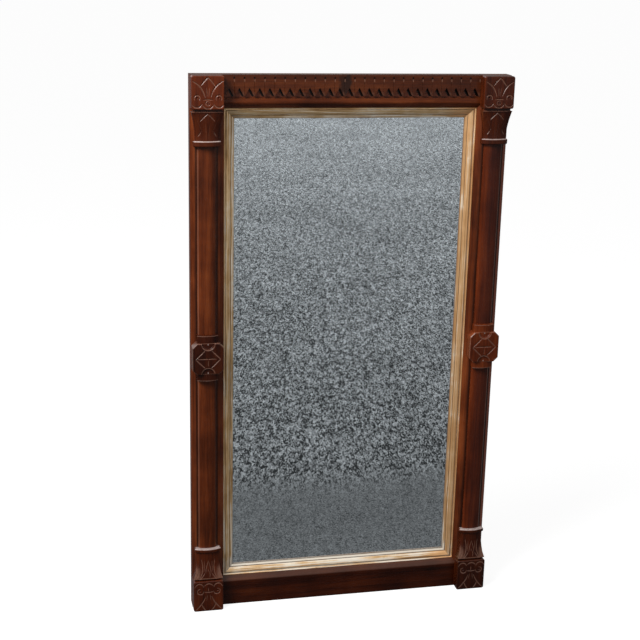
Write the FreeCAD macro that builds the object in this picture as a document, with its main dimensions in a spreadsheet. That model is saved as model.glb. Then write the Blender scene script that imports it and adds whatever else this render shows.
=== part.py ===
import FreeCAD, Part
import Sketcher
import os

# A carved walnut wall mirror, hung from two rings on its back.
# Millimetres. +Z is up, the glass faces -Y, and the origin is the middle of
# the back, in the plane of the wall that the mirror hangs against.

doc = FreeCAD.newDocument("wooden_mirror")
sheet = doc.addObject("Spreadsheet::Sheet", "Sizes")
nodes = {}
size_names = []


class Size:
    """A number together with the spreadsheet expression that drives it."""

    def __init__(self, value, text):
        self.value = value
        self.text = text

    def join(self, other, sign, value):
        return Size(value, "(" + self.text + " " + sign + " " + other.text + ")")

    def __add__(self, other):
        other = fixed(other)
        return self.join(other, "+", self.value + other.value)

    def __sub__(self, other):
        other = fixed(other)
        return self.join(other, "-", self.value - other.value)

    def __mul__(self, other):
        other = fixed(other)
        return self.join(other, "*", self.value * other.value)

    def __truediv__(self, other):
        other = fixed(other)
        return self.join(other, "/", self.value / other.value)

    def __radd__(self, other):
        return fixed(other) + self

    def __rsub__(self, other):
        return fixed(other) - self

    def __rmul__(self, other):
        return fixed(other) * self

    def __neg__(self):
        return fixed(-1) * self


def fixed(number):
    """A plain number as a Size; a Size is passed through."""
    if isinstance(number, Size):
        return number
    return Size(float(number), "(" + repr(float(number)) + ")")


def size(name, value):
    """A driving dimension: one named row of the spreadsheet."""
    size_names.append(name)
    row = str(len(size_names))
    sheet.set("A" + row, name)
    sheet.set("B" + row, str(value))
    sheet.setAlias("B" + row, name)
    return Size(float(value), "Sizes." + name)


# Overall sizes
overall_width = size("overall_width", 718)
overall_height = size("overall_height", 1250)

# Stiles and rails
stile_width = size("stile_width", 74)
rail_height = size("rail_height", 71.5)
board = size("board_thickness", 34)
bevel_width = size("bevel_width", 11)
bevel_depth = size("bevel_depth", 8)
bevel_round = size("bevel_round", 8)
outer_bevel = size("outer_bevel", 10)
rabbet_width = size("rabbet_width", 8)
lip_thickness = size("lip_thickness", 4)
dowel_radius = size("dowel_radius", 4)
dowel_length = size("dowel_length", 36)
drill_clearance = size("drill_clearance", 0.15)

# Corner blocks
block_width = size("block_width", 70)
top_block_height = size("top_block_height", 71.5)
bottom_block_height = size("bottom_block_height", 77)
block_thickness = size("block_thickness", 26)
block_edge = size("block_edge", 2)

# Half columns, centred on the corner blocks
shaft_width = size("shaft_width", 43)
shaft_edge = size("shaft_edge", 3)
shaft_cant = size("shaft_cant", 3.5)
shaft_cant_rise = size("shaft_cant_rise", 4)
shaft_bow = size("shaft_bow", 3.5)

# Capitals, measured down from the top blocks
capital_height = size("capital_height", 80.5)
capital_fillet = size("capital_fillet", 5)
capital_width = size("capital_width", 68)
capital_front = size("capital_front", 19.5)
capital_bow = size("capital_bow", 2)
capital_brim = size("capital_brim", 3)
capital_step = size("capital_step", 3)
capital_lip = size("capital_lip", 0.6)
capital_neck = size("capital_neck", 53)
capital_neck_front = size("capital_neck_front", 10)
capital_neck_bow = size("capital_neck_bow", 6.5)
capital_ring_width = size("capital_ring_width", 60)
capital_ring_height = size("capital_ring_height", 12.5)
capital_ring_front = size("capital_ring_front", 11)
capital_ring_bow = size("capital_ring_bow", 8.5)

# Bases, measured up from the bottom blocks
base_height = size("base_height", 79)
base_fillet = size("base_fillet", 4.5)
base_step = size("base_step", 5)
base_width = size("base_width", 69)
base_front = size("base_front", 21.5)
base_bow = size("base_bow", 1.5)
base_neck = size("base_neck", 52)
base_neck_front = size("base_neck_front", 10.5)
base_neck_bow = size("base_neck_bow", 6)
base_ring_width = size("base_ring_width", 61)
base_ring_height = size("base_ring_height", 9.5)
base_ring_front = size("base_ring_front", 11.5)
base_ring_bow = size("base_ring_bow", 8)
ring_round = size("ring_round", 2.5)
ring_hold = size("ring_hold", 2)

# Middle blocks
middle_height = size("middle_height", 72)
middle_cut = size("middle_cut", 10)
lobe_radius = size("lobe_radius", 14.5)
lobe_depth = size("lobe_depth", 3.6)
tab_width = size("tab_width", 47)
tab_height = size("tab_height", 16.5)
tab_front = size("tab_front", 16)
tab_bow = size("tab_bow", 6)

# Frieze
frieze_depth = size("frieze_depth", 9)
frieze_drop = size("frieze_drop", 46.5)
frieze_ground = size("frieze_ground", 50.7)
frieze_clearance = size("frieze_clearance", 0.3)
frieze_margin = size("frieze_margin", 3)
tooth_height = size("tooth_height", 19)
tooth_tip = size("tooth_tip", 1.2)
tooth_count = size("tooth_count", 26)
dot_drop = size("dot_drop", 7)
dot_radius = size("dot_radius", 2.4)
dot_depth = size("dot_depth", 2.5)
groove_width = size("groove_width", 1.6)
groove_depth = size("groove_depth", 0.7)

# Gilt liner, glass and back
liner_width = size("liner_width", 24)
liner_clearance = size("liner_clearance", 0.3)
glass_setback = size("glass_setback", 11)
glass_thickness = size("glass_thickness", 4)
glass_overlap = size("glass_overlap", 7.5)
glass_clearance = size("glass_clearance", 1)
wedge_length = size("wedge_length", 60)
wedge_clearance = size("wedge_clearance", 0.5)
backing = size("backboard_thickness", 8)
backing_overlap = size("backboard_overlap", 13)
backing_gap = size("backboard_gap", 1.5)
nail_head = size("nail_head_radius", 3)
nail_head_height = size("nail_head_height", 1.2)
nail_shank = size("nail_shank_radius", 1.3)
nail_length = size("nail_length", 22)
nail_inset = size("nail_inset", 55)
nail_reach = size("nail_reach", 150)

# Ring hangers on the backs of the stiles
hanger_height = size("hanger_height", 985)
strap_width = size("strap_width", 20)
strap_length = size("strap_length", 44)
strap_thickness = size("strap_thickness", 1.8)
strap_crown = size("strap_crown", 6)
strap_neck = size("strap_neck", 4)
strap_shoulder = size("strap_shoulder", 9)
knuckle_width = size("knuckle_width", 12)
knuckle_wall = size("knuckle_wall", 1.55)
ring_lift = size("ring_lift", 0.35)
ring_wire = size("ring_wire_radius", 1.75)
ring_play = size("ring_play", 0.1)
ring_width = size("ring_width", 26)
ring_bend = size("ring_bend", 4)
ring_side = size("ring_side", 6)
screw_head = size("screw_head_radius", 3.6)
screw_shank = size("screw_shank_radius", 1.9)
screw_length = size("screw_length", 18)
screw_start = size("screw_start", 14)
screw_spacing = size("screw_spacing", 22)
doc.recompute()

# Planes and lines that several pieces share
back_y = -backing
frame_bottom = overall_height / -2
frame_top = overall_height / 2
outer = overall_width / 2
opening = outer - stile_width
sight = opening - liner_width
rabbet_depth = board - bevel_depth - lip_thickness
low = frame_bottom + rail_height
high = frame_top - rail_height
sight_low = low + liner_width
sight_high = high - liner_width
column = outer - block_width / 2
blocks_end = outer - block_width
tooth_pitch = (blocks_end - frieze_margin) * 2 / tooth_count
column_low = frame_bottom + bottom_block_height
column_high = frame_top - top_block_height
middle = fixed(0)
hanger_level = frame_bottom + hanger_height
pivot_stand = strap_thickness + ring_lift + ring_wire
tab_low = middle - middle_height / 2 - tab_height
tab_high = middle + middle_height / 2 + tab_height
board_edge = opening + rabbet_width + backing_overlap
margin = fixed(6)


def ahead(distance):
    """Y of a plane that far in front of the back of the frame."""
    return back_y - distance


def bind(item, path, amount):
    item.setExpression(path, fixed(amount).text)


def keep(label, item):
    """Register a finished piece under the name of its file."""
    item.Label = label
    nodes[label] = item
    return item


def new_body(label):
    return doc.addObject("PartDesign::Body", label)


def new_sketch(body, role, offset):
    """A sketch on one of the body's own planes, moved along its normal."""
    sketch = body.newObject("Sketcher::SketchObject", body.Name + "_sketch")
    plane = [item for item in body.Origin.OriginFeatures if item.Role == role][0]
    sketch.AttachmentSupport = [(plane, "")]
    sketch.MapMode = "FlatFace"
    bind(sketch, "AttachmentOffset.Base.z", offset)
    return sketch


def hold(sketch, geometry, end, corner):
    """Fix one end of a curve at the given pair of sizes."""
    words = ("DistanceX", "DistanceY")
    axes = (-2, -1)
    for word, axis, amount in zip(words, axes, corner):
        if abs(amount.value) < 1e-9:
            rule = Sketcher.Constraint("PointOnObject", geometry, end, axis)
            sketch.addConstraint(rule)
        else:
            rule = Sketcher.Constraint(word, -1, 1, geometry, end, amount.value)
            index = sketch.addConstraint(rule)
            bind(sketch, "Constraints[" + str(index) + "]", amount)


def outline(sketch, corners):
    """A closed outline. A third entry is the rise of an arc to the next corner."""
    ends = []
    arcs = []
    corners = [[fixed(entry) for entry in corner] for corner in corners]
    for index, corner in enumerate(corners):
        follow = corners[(index + 1) % len(corners)]
        first = FreeCAD.Vector(corner[0].value, corner[1].value, 0)
        last = FreeCAD.Vector(follow[0].value, follow[1].value, 0)
        if len(corner) == 2:
            geometry = sketch.addGeometry(Part.LineSegment(first, last), False)
            ends.append((geometry, 1, 2))
            continue
        rise = corner[2]
        run = last - first
        across = FreeCAD.Vector(run.y, -run.x, 0).normalize()
        crown = (first + last) * 0.5 + across * rise.value
        geometry = sketch.addGeometry(Part.Arc(first, crown, last), False)
        begins = (sketch.getPoint(geometry, 1) - first).Length < 1e-6
        ends.append((geometry, 1, 2) if begins else (geometry, 2, 1))
        wide = follow[0] - corner[0]
        tall = follow[1] - corner[1]
        arcs.append((geometry, ((wide * wide + tall * tall) / 4 + rise * rise) / (rise * 2)))
    for index in range(len(corners)):
        before = ends[index - 1]
        here = ends[index]
        rule = Sketcher.Constraint("Coincident", before[0], before[2], here[0], here[1])
        sketch.addConstraint(rule)
        hold(sketch, here[0], here[1], corners[index][:2])
    for geometry, radius in arcs:
        if radius.value < 0:
            radius = -radius
        rule = Sketcher.Constraint("Radius", geometry, radius.value)
        index = sketch.addConstraint(rule)
        bind(sketch, "Constraints[" + str(index) + "]", radius)


def disc(sketch, x, y, radius):
    x = fixed(x)
    y = fixed(y)
    centre = FreeCAD.Vector(x.value, y.value, 0)
    ring = Part.Circle(centre, FreeCAD.Vector(0, 0, 1), radius.value)
    geometry = sketch.addGeometry(ring, False)
    hold(sketch, geometry, 3, (x, y))
    rule = Sketcher.Constraint("Radius", geometry, radius.value)
    index = sketch.addConstraint(rule)
    bind(sketch, "Constraints[" + str(index) + "]", radius)


def pad(body, sketch, length, backwards=False):
    feature = body.newObject("PartDesign::Pad", body.Name + "_pad")
    feature.Profile = sketch
    bind(feature, "Length", length)
    feature.Reversed = backwards
    return feature


def pocket(body, sketch, length):
    feature = body.newObject("PartDesign::Pocket", body.Name + "_pocket")
    feature.Profile = sketch
    bind(feature, "Length", length)
    return feature


def edges_where(shape, test):
    """Names of the edges whose two ends both pass the test."""
    names = []
    for index, edge in enumerate(shape.Edges):
        if all(test(vertex.Point) for vertex in edge.Vertexes):
            names.append("Edge" + str(index + 1))
    return names


def soften(body, kind, base, names, amount):
    feature = body.newObject("PartDesign::" + kind, body.Name + "_" + kind.lower())
    feature.Base = (base, names)
    bind(feature, "Radius" if kind == "Fillet" else "Size", amount)
    return feature


def place(item, x, y, z):
    bind(item, "Placement.Base.x", x)
    bind(item, "Placement.Base.y", y)
    bind(item, "Placement.Base.z", z)


def rod(name, radius, length, spot, axis, angle):
    """A cylinder that starts at the spot, turned from +Z about the axis."""
    item = doc.addObject("Part::Cylinder", name)
    bind(item, "Radius", radius)
    bind(item, "Height", length)
    turn = FreeCAD.Rotation(FreeCAD.Vector(*axis), angle)
    item.Placement = FreeCAD.Placement(FreeCAD.Vector(0, 0, 0), turn)
    place(item, spot[0], spot[1], spot[2])
    return item


def block(name, lengths, spot):
    """A box given by its three lengths and its lowest corner."""
    item = doc.addObject("Part::Box", name)
    bind(item, "Length", lengths[0])
    bind(item, "Width", lengths[1])
    bind(item, "Height", lengths[2])
    place(item, spot[0], spot[1], spot[2])
    return item


def group(label, items):
    item = doc.addObject("Part::Compound", label)
    item.Links = items
    return item


def fuse(name, items):
    item = doc.addObject("Part::MultiFuse", name)
    item.Shapes = items
    return item


def cut(label, base, tool):
    item = doc.addObject("Part::Cut", label)
    item.Base = base
    item.Tool = tool
    return keep(label, item)


# Frame members, mitred from the outer corner to the corner of the opening
slope = rail_height / stile_width


def cut_corners(body, pieces):
    """Cut the given outlines right through the body from front to back."""
    sketch = new_sketch(body, "XZ_Plane", 200)
    for corners in pieces:
        outline(sketch, corners)
    return pocket(body, sketch, 400)


def round_bevel(body, last, test):
    doc.recompute()
    return soften(body, "Fillet", last, edges_where(last.Shape, test), bevel_round)


def make_stile(name, side):
    body = new_body(name + "_stile_blank")
    sketch = new_sketch(body, "XY_Plane", frame_bottom)
    corners = [
        (side * outer, ahead(fixed(0))),
        (side * outer, ahead(board)),
        (side * (opening + bevel_width), ahead(board)),
        (side * opening, ahead(board - bevel_depth)),
        (side * opening, ahead(rabbet_depth)),
        (side * (opening + rabbet_width), ahead(rabbet_depth)),
        (side * (opening + rabbet_width), ahead(fixed(0))),
    ]
    outline(sketch, corners)
    last = pad(body, sketch, overall_height)
    edge = (opening + bevel_width).value
    face = ahead(board).value

    def on_bevel(point):
        return abs(abs(point.x) - edge) < 1e-4 and abs(point.y - face) < 1e-4

    round_bevel(body, last, on_bevel)
    inside = opening - margin
    reach = rail_height + margin * slope
    top = [
        (side * outer, frame_top),
        (side * outer, frame_top + margin),
        (side * inside, frame_top + margin),
        (side * inside, frame_top - reach),
    ]
    bottom = [
        (side * outer, frame_bottom),
        (side * outer, frame_bottom - margin),
        (side * inside, frame_bottom - margin),
        (side * inside, frame_bottom + reach),
    ]
    cut_corners(body, [top, bottom])
    sketch = new_sketch(body, "XY_Plane", column_high)
    corners = [
        (side * (outer + 2), ahead(board - outer_bevel - 2)),
        (side * (outer + 2), ahead(board + 2)),
        (side * (outer - outer_bevel - 2), ahead(board + 2)),
    ]
    outline(sketch, corners)
    pocket(body, sketch, column_high - column_low)
    return body


def make_rail(name, upward):
    """The upper rail is the lower one turned over, with a sunk frieze ground."""
    body = new_body(name + "_rail_blank")
    sketch = new_sketch(body, "YZ_Plane", -outer)
    stuck = bevel_width * slope

    def level(height):
        return frame_top - height if upward else frame_bottom + height

    corners = [
        (ahead(fixed(0)), level(fixed(0))),
        (ahead(board), level(fixed(0))),
        (ahead(board), level(rail_height - stuck)),
        (ahead(board - bevel_depth), level(rail_height)),
        (ahead(rabbet_depth), level(rail_height)),
        (ahead(rabbet_depth), level(rail_height - rabbet_width)),
        (ahead(fixed(0)), level(rail_height - rabbet_width)),
    ]
    outline(sketch, corners)
    last = pad(body, sketch, overall_width)
    arris = level(rail_height - stuck).value
    face = ahead(board).value

    def on_bevel(point):
        return abs(point.z - arris) < 1e-4 and abs(point.y - face) < 1e-4

    round_bevel(body, last, on_bevel)
    reach = rail_height + margin
    inside = opening - margin / slope
    pieces = []
    for side in (-1, 1):
        corners = [
            (side * outer, level(fixed(0))),
            (side * (outer + margin), level(fixed(0))),
            (side * (outer + margin), level(reach)),
            (side * inside, level(reach)),
        ]
        pieces.append(corners)
    cut_corners(body, pieces)
    if upward:
        sketch = new_sketch(body, "XZ_Plane", board - back_y)
        corners = [
            (-blocks_end, frame_top - frieze_ground),
            (blocks_end, frame_top - frieze_ground),
            (blocks_end, frame_top + margin),
            (-blocks_end, frame_top + margin),
        ]
        outline(sketch, corners)
        pocket(body, sketch, frieze_depth)
    return body


def make_dowels(name, radius, length):
    """Two rods across each mitre, in the thick part of the frame."""
    rods = []
    half = length * 0.70711 / 2
    for side in (-1, 1):
        for upward in (False, True):
            for part in (0.28, 0.62):
                x = side * (outer - stile_width * part)
                z = frame_bottom + rail_height * part
                if upward:
                    z = frame_top - rail_height * part
                angle = 45 if (side > 0) == (not upward) else -45
                lead = 1 if angle > 0 else -1
                spot = (x - half * lead, ahead(board / 2 - 2), z - half)
                rods.append(rod(name, radius, length, spot, (0, 1, 0), angle))
    return rods


# Nails and screws: a shank, a head, and wider copies that drill the wood
nail_spots = []
board_low = low - rabbet_width - backing_overlap
board_high = high + rabbet_width + backing_overlap
board_height = (board_high - board_low - backing_gap * 2) / 3
nail_line = opening + rabbet_width + backing_overlap / 2
for number in range(3):
    start = board_low + (board_height + backing_gap) * number
    for side in (-1, 1):
        nail_spots.append((side * nail_line, start + nail_inset))
        nail_spots.append((side * nail_line, start + board_height - nail_inset))
for side in (-1, 1):
    nail_spots.append((side * nail_reach, board_low + backing_overlap / 2))
    nail_spots.append((side * nail_reach, board_high - backing_overlap / 2))

hanger_x = (outer + board_edge) / 2
screw_spots = []
for side in (-1, 1):
    screw_spots.append((side * hanger_x, hanger_level - screw_start))
    screw_spots.append((side * hanger_x, hanger_level - screw_start - screw_spacing))


def make_nail(name, spot, spare):
    """A flat-headed nail, driven flush with the backboard from behind."""
    rear = back_y + backing
    head = rod(name, nail_head + spare, nail_head_height, (spot[0], rear, spot[1]), (1, 0, 0), 90)
    shank_length = nail_length + spare
    shank = rod(name, nail_shank + spare, shank_length, (spot[0], rear, spot[1]), (1, 0, 0), 90)
    return fuse(name, [head, shank])


def make_screw(name, spot, spare):
    """A countersunk screw, flush with the strap of the hanger."""
    rear = back_y + strap_thickness
    head = doc.addObject("Part::Cone", name)
    bind(head, "Radius1", screw_head + spare)
    bind(head, "Radius2", screw_shank + spare)
    bind(head, "Height", strap_thickness)
    turn = FreeCAD.Rotation(FreeCAD.Vector(1, 0, 0), 90)
    head.Placement = FreeCAD.Placement(FreeCAD.Vector(0, 0, 0), turn)
    place(head, spot[0], rear, spot[1])
    shank_length = screw_length + spare
    shank = rod(name, screw_shank + spare, shank_length, (spot[0], rear, spot[1]), (1, 0, 0), 90)
    return fuse(name, [head, shank])


no_spare = fixed(0)
nail_holes = group("nail_holes", [make_nail("nail_hole", s, drill_clearance) for s in nail_spots])
screw_holes = group("screw_holes", [make_screw("screw_hole", s, drill_clearance) for s in screw_spots])
dowel_holes = group(
    "dowel_holes",
    make_dowels("dowel_hole", dowel_radius + drill_clearance, dowel_length + drill_clearance * 2),
)
drilled = group("drilled_holes", [nail_holes, screw_holes, dowel_holes])

cut("left_stile", make_stile("left", -1), drilled)
cut("right_stile", make_stile("right", 1), drilled)
cut("top_rail", make_rail("top", True), drilled)
cut("bottom_rail", make_rail("bottom", False), drilled)
keep("corner_dowels", group("corner_dowels", make_dowels("dowel", dowel_radius, dowel_length)))


# Carved corner blocks, applied to the front of the frame
def make_corner_block(name, side, start, height):
    body = new_body(name)
    sketch = new_sketch(body, "XZ_Plane", board - back_y)
    corners = [
        (side * outer, start),
        (side * outer, start + height),
        (side * blocks_end, start + height),
        (side * blocks_end, start),
    ]
    outline(sketch, corners)
    last = pad(body, sketch, block_thickness)
    doc.recompute()
    face = ahead(board + block_thickness).value
    names = edges_where(last.Shape, lambda point: abs(point.y - face) < 1e-4)
    soften(body, "Chamfer", last, names, block_edge)
    return keep(name, body)


for name, side in (("left", -1), ("right", 1)):
    make_corner_block("top_" + name + "_block", side, column_high, top_block_height)
    make_corner_block("bottom_" + name + "_block", side, frame_bottom, bottom_block_height)


# Half columns: bowed plans that grow into flared capitals and bases
def plan(centre, width, corner, bow):
    """A plan that is flat at the back and bowed at the front."""
    half = fixed(width) / 2
    near = ahead(board + corner)
    corners = [
        (centre - half, near, bow),
        (centre + half, near),
        (centre + half, ahead(board)),
        (centre - half, ahead(board)),
    ]
    return corners


def slab(body, centre, start, height, width, corner, bow):
    sketch = new_sketch(body, "XY_Plane", start)
    outline(sketch, plan(centre, width, fixed(corner), fixed(bow)))
    return pad(body, sketch, height)


def flare(body, centre, steps):
    """A loft through bowed plans: height, width, corner depth and bow of each."""
    sketches = []
    for height, width, corner, bow in steps:
        sketch = new_sketch(body, "XY_Plane", height)
        outline(sketch, plan(centre, width, fixed(corner), fixed(bow)))
        sketches.append(sketch)
    feature = body.newObject("PartDesign::AdditiveLoft", body.Name + "_loft")
    feature.Profile = sketches[0]
    feature.Sections = sketches[1:]
    feature.Ruled = False
    return feature


def ring_moulding(body, centre, start, height, width, corner, bow):
    """A bowed ring with rounded upper and lower edges."""
    last = slab(body, centre, start, height, width, corner, bow)
    doc.recompute()
    rear = ahead(board).value - 0.5
    names = []
    for index, edge in enumerate(last.Shape.Edges):
        points = [vertex.Point for vertex in edge.Vertexes]
        flat = abs(points[0].z - points[-1].z) < 1e-4
        halfway = edge.valueAt((edge.FirstParameter + edge.LastParameter) / 2)
        if flat and halfway.y < rear:
            names.append("Edge" + str(index + 1))
    return soften(body, "Fillet", last, names, ring_round)


def between(low_end, high_end, share):
    return low_end + (high_end - low_end) * share


def make_capital(name, side):
    body = new_body(name)
    centre = side * column
    bottom = column_high - capital_height
    neck = bottom + capital_ring_height
    top = column_high - capital_fillet
    brim = top - capital_brim
    swell = between(capital_neck, capital_width, 0.33)
    swell_front = between(capital_neck_front, capital_front, 0.32)
    swell_bow = between(capital_neck_bow, capital_bow, 0.12)
    steps = [
        (neck - ring_hold, capital_neck, capital_neck_front, capital_neck_bow),
        (between(neck, brim, 0.24), capital_neck, capital_neck_front + 0.5, capital_neck_bow),
        (between(neck, brim, 0.6), swell, swell_front, swell_bow),
        (brim, capital_width - capital_lip * 2, capital_front - capital_lip, capital_bow),
    ]
    ring_moulding(
        body, centre, bottom, capital_ring_height, capital_ring_width, capital_ring_front, capital_ring_bow
    )
    flare(body, centre, steps)
    slab(body, centre, brim, capital_brim, capital_width, capital_front, capital_bow)
    narrow = capital_width - capital_step * 2
    slab(body, centre, top, capital_fillet, narrow, capital_front - capital_step, capital_bow)
    return keep(name, body)


def make_base(name, side):
    body = new_body(name)
    centre = side * column
    top = column_low + base_height
    neck = top - base_ring_height
    foot = column_low + base_fillet
    spread = between(base_neck, base_width, 0.5)
    spread_front = between(base_neck_front, base_front, 0.68)
    waist_front = between(base_neck_front, base_front, 0.27)
    steps = [
        (foot, base_width, base_front, base_bow),
        (between(foot, neck, 0.2), spread, spread_front, between(base_bow, base_neck_bow, 0.44)),
        (between(foot, neck, 0.49), base_neck + 3, waist_front, between(base_bow, base_neck_bow, 0.78)),
        (between(foot, neck, 0.78), base_neck, base_neck_front + 0.5, base_neck_bow),
        (neck + ring_hold, base_neck, base_neck_front, base_neck_bow),
    ]
    ring_moulding(body, centre, neck, base_ring_height, base_ring_width, base_ring_front, base_ring_bow)
    flare(body, centre, steps)
    narrow = base_width - base_step * 2
    slab(body, centre, column_low, base_fillet, narrow, base_front - base_step, base_bow)
    return keep(name, body)


def make_shaft(name, side, start, end):
    """A bowed shaft with canted edges."""
    body = new_body(name)
    centre = side * column
    half = shaft_width / 2
    flat = half - shaft_cant
    edge = ahead(board + shaft_edge)
    near = ahead(board + shaft_edge + shaft_cant_rise)
    sketch = new_sketch(body, "XY_Plane", start)
    corners = [
        (centre - flat, near, shaft_bow),
        (centre + flat, near),
        (centre + half, edge),
        (centre + half, ahead(board)),
        (centre - half, ahead(board)),
        (centre - half, edge),
    ]
    outline(sketch, corners)
    pad(body, sketch, end - start)
    return keep(name, body)


def make_middle_block(name, side):
    """An eight-sided block, with a sunk half round at head and foot, across a bowed tab."""
    body = new_body(name)
    centre = side * column
    half = block_width / 2
    tall = middle_height / 2
    sketch = new_sketch(body, "XZ_Plane", board - back_y)
    corners = [
        (centre - half, middle - tall + middle_cut),
        (centre - half + middle_cut, middle - tall),
        (centre + half - middle_cut, middle - tall),
        (centre + half, middle - tall + middle_cut),
        (centre + half, middle + tall - middle_cut),
        (centre + half - middle_cut, middle + tall),
        (centre - half + middle_cut, middle + tall),
        (centre - half, middle + tall - middle_cut),
    ]
    outline(sketch, corners)
    last = pad(body, sketch, block_thickness)
    doc.recompute()
    face = ahead(board + block_thickness).value
    names = edges_where(last.Shape, lambda point: abs(point.y - face) < 1e-4)
    soften(body, "Chamfer", last, names, block_edge)
    lobes = new_sketch(body, "XZ_Plane", board - back_y + block_thickness)
    disc(lobes, centre, middle + tall, lobe_radius)
    disc(lobes, centre, middle - tall, lobe_radius)
    pocket(body, lobes, lobe_depth)
    slab(body, centre, tab_low, tab_high - tab_low, tab_width, tab_front, tab_bow)
    return keep(name, body)


for name, side in (("left", -1), ("right", 1)):
    make_capital(name + "_capital", side)
    make_base(name + "_base", side)
    make_middle_block(name + "_middle_block", side)
    make_shaft(name + "_upper_shaft", side, tab_high, column_high - capital_height)
    make_shaft(name + "_lower_shaft", side, column_low + base_height, tab_low)


# Sawtooth frieze, let into the upper rail between the blocks
def make_frieze():
    body = new_body("frieze_board")
    half = blocks_end - frieze_clearance
    tip = frame_top - frieze_drop
    first = tooth_pitch * (tooth_count - 1) / -2
    sketch = new_sketch(body, "XZ_Plane", board - back_y - frieze_depth)
    corners = [(-half, tip), (half, tip), (half, frame_top), (-half, frame_top)]
    outline(sketch, corners)
    pad(body, sketch, frieze_depth)

    notch = new_sketch(body, "XZ_Plane", board - back_y)
    wide = (tooth_pitch - tooth_tip) / 2
    grow = wide / tooth_height
    corners = [
        (first - wide - grow, tip - 1),
        (first + wide + grow, tip - 1),
        (first, tip + tooth_height),
    ]
    outline(notch, corners)
    notch_cut = pocket(body, notch, frieze_depth + 1)
    repeat(body, [notch_cut], notch, tooth_count)

    dot = new_sketch(body, "XZ_Plane", board - back_y)
    disc(dot, first + tooth_pitch / 2, frame_top - dot_drop, dot_radius)
    dot_cut = pocket(body, dot, dot_depth)
    vee = new_sketch(body, "XY_Plane", frame_top - dot_drop)
    axis = first + tooth_pitch / 2
    deep = groove_depth * 2
    corners = [
        (axis - groove_width, ahead(board) - groove_depth),
        (axis + groove_width, ahead(board) - groove_depth),
        (axis, ahead(board) - groove_depth + deep),
    ]
    outline(vee, corners)
    vee_cut = pocket(body, vee, frieze_drop)
    repeat(body, [dot_cut, vee_cut], dot, tooth_count - 1)
    return keep("frieze_board", body)


def repeat(body, features, sketch, count):
    doc.recompute()
    row = body.newObject("PartDesign::LinearPattern", body.Name + "_row")
    row.Originals = features
    row.Direction = (sketch, ["H_Axis"])
    bind(row, "Length", tooth_pitch * (count - 1))
    bind(row, "Occurrences", count)
    body.Tip = row
    doc.recompute()
    return row


make_frieze()


# Gilt liner: one moulding, mitred into four lengths
def liner_profile():
    """Distance out from the sight edge, height in front of the back, and bow."""
    back = glass_setback - glass_thickness
    groove = glass_overlap + glass_clearance
    flange = liner_width + rabbet_width - liner_clearance
    edge = liner_width - liner_clearance
    crest = board - bevel_depth
    steps = [
        (fixed(0), glass_setback),
        (groove, glass_setback),
        (groove, back),
        (flange, back),
        (flange, rabbet_depth),
        (edge, rabbet_depth),
        (edge, crest - 2, fixed(1.7)),
        (edge - 4.4, crest - 4, None),
        (edge - 5.2, crest - 5.2),
        (edge - 6, crest - 4.4, fixed(-0.8)),
        (glass_overlap, glass_setback + 5.2, None),
        (glass_overlap - 0.6, glass_setback + 3.8),
        (glass_overlap - 1.2, glass_setback + 4.6),
        (fixed(0), glass_setback + 1.8),
    ]
    return [tuple(entry for entry in step if entry is not None) for step in steps]


def make_liner(name, upright, side):
    body = new_body(name)
    flange = liner_width + rabbet_width
    if upright:
        sketch = new_sketch(body, "XY_Plane", sight_low - flange)
    else:
        sketch = new_sketch(body, "YZ_Plane", -(sight + flange))
    corners = []
    turned = (side > 0) != upright
    for step in liner_profile():
        out = step[0]
        depth = ahead(step[1])
        if upright:
            corner = [side * (sight + out), depth]
        elif side > 0:
            corner = [depth, sight_high + out]
        else:
            corner = [depth, sight_low - out]
        if len(step) == 3:
            corner.append(-step[2] if turned else step[2])
        corners.append(corner)
    outline(sketch, corners)
    if upright:
        pad(body, sketch, sight_high - sight_low + flange * 2)
    else:
        pad(body, sketch, (sight + flange) * 2)
    ends = []
    wide = flange + margin
    for end in (-1, 1):
        if upright:
            level = sight_high if end > 0 else sight_low
            near = side * (sight - margin)
            far = side * (sight + wide)
            corners = [
                (near, level - margin * end),
                (far, level + wide * end),
                (far, level + (wide + margin) * end),
                (near, level + (wide + margin) * end),
            ]
        else:
            level = sight_high if side > 0 else sight_low
            near = level - margin * side
            far = level + wide * side
            corners = [
                (end * (sight - margin), near),
                (end * (sight + wide), far),
                (end * (sight + wide + margin), far),
                (end * (sight + wide + margin), near),
            ]
        ends.append(corners)
    cut_corners(body, ends)
    return keep(name, body)


make_liner("liner_left", True, -1)
make_liner("liner_right", True, 1)
make_liner("liner_bottom", False, -1)
make_liner("liner_top", False, 1)

# Mirror plate and the wedges that hold it in the rabbet
glass_size = (
    (sight + glass_overlap) * 2,
    glass_thickness,
    sight_high - sight_low + glass_overlap * 2,
)
glass_spot = (-(sight + glass_overlap), ahead(glass_setback), sight_low - glass_overlap)
keep("mirror_glass", block("mirror_glass", glass_size, glass_spot))

wedge_width = rabbet_width + liner_width - 3
wedge_thickness = glass_setback - glass_thickness - wedge_clearance
wedge_front = ahead(glass_setback - glass_thickness)
wedges = []
for side in (-1, 1):
    near = side * (opening + rabbet_width)
    start_x = near if side < 0 else near - wedge_width
    for part in (0.2, 0.5, 0.8):
        start_z = low + (high - low) * part - wedge_length / 2
        lengths = (wedge_width, wedge_thickness, wedge_length)
        wedges.append(block("wedge", lengths, (start_x, wedge_front, start_z)))
for part in (0.28, 0.72):
    start_x = opening * (2 * part - 1) - wedge_length / 2
    lengths = (wedge_length, wedge_thickness, wedge_width)
    wedges.append(block("wedge", lengths, (start_x, wedge_front, low - rabbet_width)))
    start_z = high + rabbet_width - wedge_width
    wedges.append(block("wedge", lengths, (start_x, wedge_front, start_z)))
keep("glazing_blocks", group("glazing_blocks", wedges))

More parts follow.
